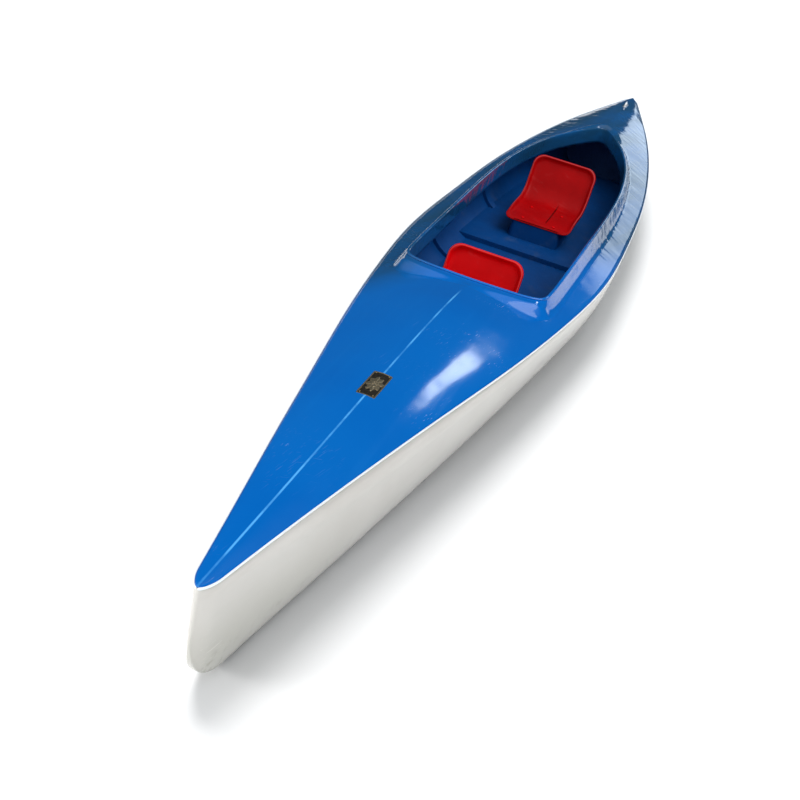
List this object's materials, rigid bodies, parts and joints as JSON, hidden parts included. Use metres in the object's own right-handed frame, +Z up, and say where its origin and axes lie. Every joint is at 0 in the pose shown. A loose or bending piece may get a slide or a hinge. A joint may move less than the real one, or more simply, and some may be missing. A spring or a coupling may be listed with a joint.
{
  "type": "two-seat decked touring canoe",
  "caption": "Slender two-seat decked touring canoe with a peaked foredeck, one long open cockpit with a raised rim, two moulded bucket seats and a sliding foot bar.",
  "frame": {"origin": "on the centre line amidships, at the lowest point of the keel", "axes": "+X towards the bow, +Y to port, +Z up"},
  "size_m": [5.2, 0.839, 0.3752],
  "materials": {
    "white_gelcoat": "gloss gelcoat on glass-fibre laminate",
    "blue_gelcoat": "gloss gelcoat on glass-fibre laminate",
    "blue_interior": "semi-gloss laminate",
    "white_strip": "gloss",
    "red_plastic": "gloss moulded",
    "foam": "rigid foam sealed with blue paint",
    "stainless": "polished stainless steel",
    "aluminium": "satin",
    "black_plastic": "moulded",
    "bronze": "aged"
  },
  "bodies": {
    "boat": {"hull_shell": "white_gelcoat", "deck_shell": "blue_gelcoat", "cockpit_coaming": "blue_gelcoat", "sheer_strip_port": "white_strip", "sheer_strip_starboard": "white_strip", "front_floor": "blue_interior", "rear_floor": "blue_interior", "side_stiffeners": "blue_interior", "bow_buoyancy_block": "foam", "stern_buoyancy_block": "foam", "front_seat_pedestal": "blue_interior", "rear_seat_pedestal": "blue_interior", "front_seat_shell": "red_plastic", "rear_seat_shell": "red_plastic", "front_seat_bolts": "stainless", "rear_seat_bolts": "stainless", "front_seat_nuts": "stainless", "rear_seat_nuts": "stainless", "foot_rail_port": "aluminium", "foot_rail_starboard": "aluminium", "emblem_plate": "bronze", "emblem_pins": "bronze", "stern_eye": "stainless", "stern_eye_screws": "stainless"},
    "foot_bar_slide": {"foot_bar": "aluminium", "foot_bar_knobs": "black_plastic"}
  },
  "joints": [
    {"name": "foot_bar_adjust", "type": "slide", "parent": "boat", "child": "foot_bar_slide", "axis": [1, 0, 0], "range_m": [-0.09, 0.09]}
  ]
}
